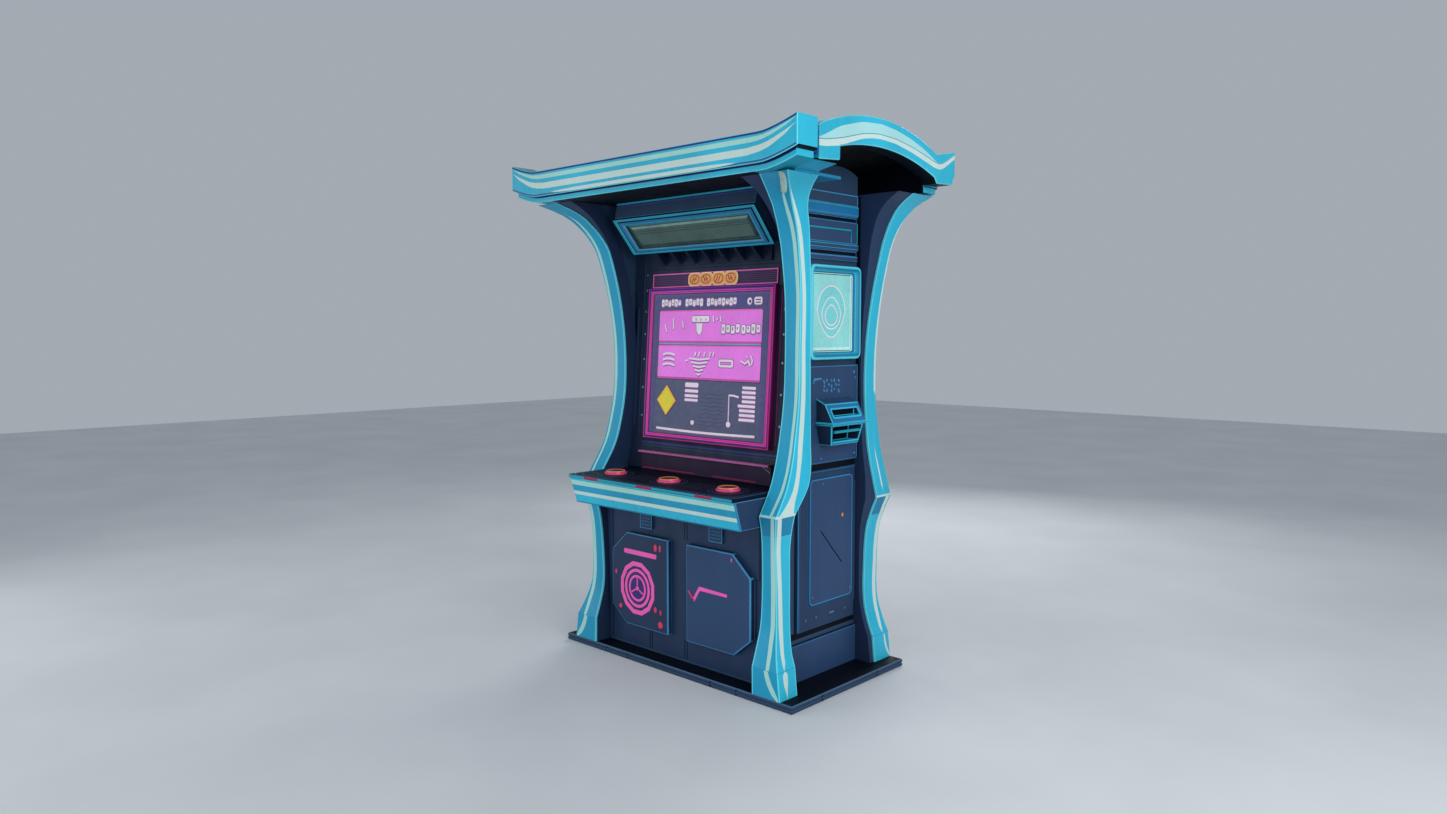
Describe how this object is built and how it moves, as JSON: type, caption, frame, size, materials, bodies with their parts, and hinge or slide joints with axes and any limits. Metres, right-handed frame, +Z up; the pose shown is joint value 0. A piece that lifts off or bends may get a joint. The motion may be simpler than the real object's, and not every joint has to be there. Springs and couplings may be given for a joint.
{
  "type": "arcade cabinet",
  "caption": "Upright arcade cabinet with an arched canopy on flared posts, push-button deck, angled marquee, hinged doors and a side card dispenser.",
  "frame": {"origin": "on the floor, at the centre of the base plate", "axes": "+Z up, -Y towards the player, +X to the player's right"},
  "size_m": [1.664, 1.106, 2.27],
  "materials": {
    "cyan_paint": "gloss",
    "navy_paint": "satin",
    "dark_navy_paint": "satin",
    "black_laminate": "satin",
    "magenta_trim": "gloss",
    "plum_paint": "satin",
    "pink_plastic": "gloss",
    "button_olive": "gloss",
    "screen_glass": "gloss",
    "marquee_lens": "satin",
    "light_lens": "satin",
    "hinge_paint": "satin",
    "equipment_grey": "satin"
  },
  "bodies": {
    "cabinet": {"post_front_left": "cyan_paint", "post_front_right": "cyan_paint", "post_rear_left": "cyan_paint", "post_rear_right": "cyan_paint", "deck_fascia": "cyan_paint", "marquee_frame": "cyan_paint", "light_box_frame_left": "cyan_paint", "light_box_frame_right": "cyan_paint", "dispenser_housing": "cyan_paint", "eave_front": "cyan_paint", "eave_rear": "cyan_paint", "gable_left": "cyan_paint", "gable_right": "cyan_paint", "lower_front_panel": "navy_paint", "side_panel_left": "navy_paint", "deck_box": "navy_paint", "deck_bracket_left": "navy_paint", "deck_bracket_right": "navy_paint", "marquee_housing": "navy_paint", "marquee_brackets": "navy_paint", "vent_panel_left": "navy_paint", "vent_panel_right": "navy_paint", "base_plate": "dark_navy_paint", "side_wall_left": "dark_navy_paint", "side_wall_right": "dark_navy_paint", "top_cover": "dark_navy_paint", "rear_panel": "dark_navy_paint", "front_surround": "dark_navy_paint", "service_shelf": "dark_navy_paint", "roof_vault": "dark_navy_paint", "canopy_ceiling": "dark_navy_paint", "deck_top": "black_laminate", "monitor_chassis": "black_laminate", "speaker": "black_laminate", "card_magazine": "black_laminate", "power_inlet": "black_laminate", "screen_bezel": "magenta_trim", "ledge_panel": "plum_paint", "title_strip": "plum_paint", "button_rim_left": "pink_plastic", "button_rim_centre": "pink_plastic", "button_rim_right": "pink_plastic", "screen_glass": "screen_glass", "marquee_lens": "marquee_lens", "light_box_lens_left": "light_lens", "light_box_lens_right": "light_lens", "marquee_lamp": "light_lens", "front_door_hinge_left": "hinge_paint", "front_door_hinge_right": "hinge_paint", "access_door_hinge": "hinge_paint", "button_switch_board": "equipment_grey", "game_computer": "equipment_grey", "power_supply": "equipment_grey", "cash_box": "equipment_grey"},
    "front_door_left": {"front_door_left": "navy_paint"},
    "front_door_right": {"front_door_right": "navy_paint"},
    "access_door": {"access_door": "navy_paint"},
    "button_left": {"button_cap_left": "button_olive"},
    "button_centre": {"button_cap_centre": "button_olive"},
    "button_right": {"button_cap_right": "button_olive"}
  },
  "joints": [
    {"name": "front_door_left_swing", "type": "hinge", "parent": "cabinet", "child": "front_door_left", "pos_m": [-0.4275, -0.3035, 0.347], "axis": [0, 0, -1], "range_deg": [0, 105]},
    {"name": "front_door_right_swing", "type": "hinge", "parent": "cabinet", "child": "front_door_right", "pos_m": [0.4275, -0.3035, 0.347], "axis": [0, 0, 1], "range_deg": [0, 105]},
    {"name": "access_door_swing", "type": "hinge", "parent": "cabinet", "child": "access_door", "pos_m": [0.5295, 0.2245, 0.56], "axis": [0, 0, 1], "range_deg": [0, 88]},
    {"name": "button_left_press", "type": "slide", "parent": "cabinet", "child": "button_left", "axis": [0, 0, -1], "range_m": [0, 0.005], "stiffness_N_per_m": 700, "springref_m": -0.005},
    {"name": "button_centre_press", "type": "slide", "parent": "cabinet", "child": "button_centre", "axis": [0, 0, -1], "range_m": [0, 0.005], "stiffness_N_per_m": 700, "springref_m": -0.005},
    {"name": "button_right_press", "type": "slide", "parent": "cabinet", "child": "button_right", "axis": [0, 0, -1], "range_m": [0, 0.005], "stiffness_N_per_m": 700, "springref_m": -0.005}
  ]
}
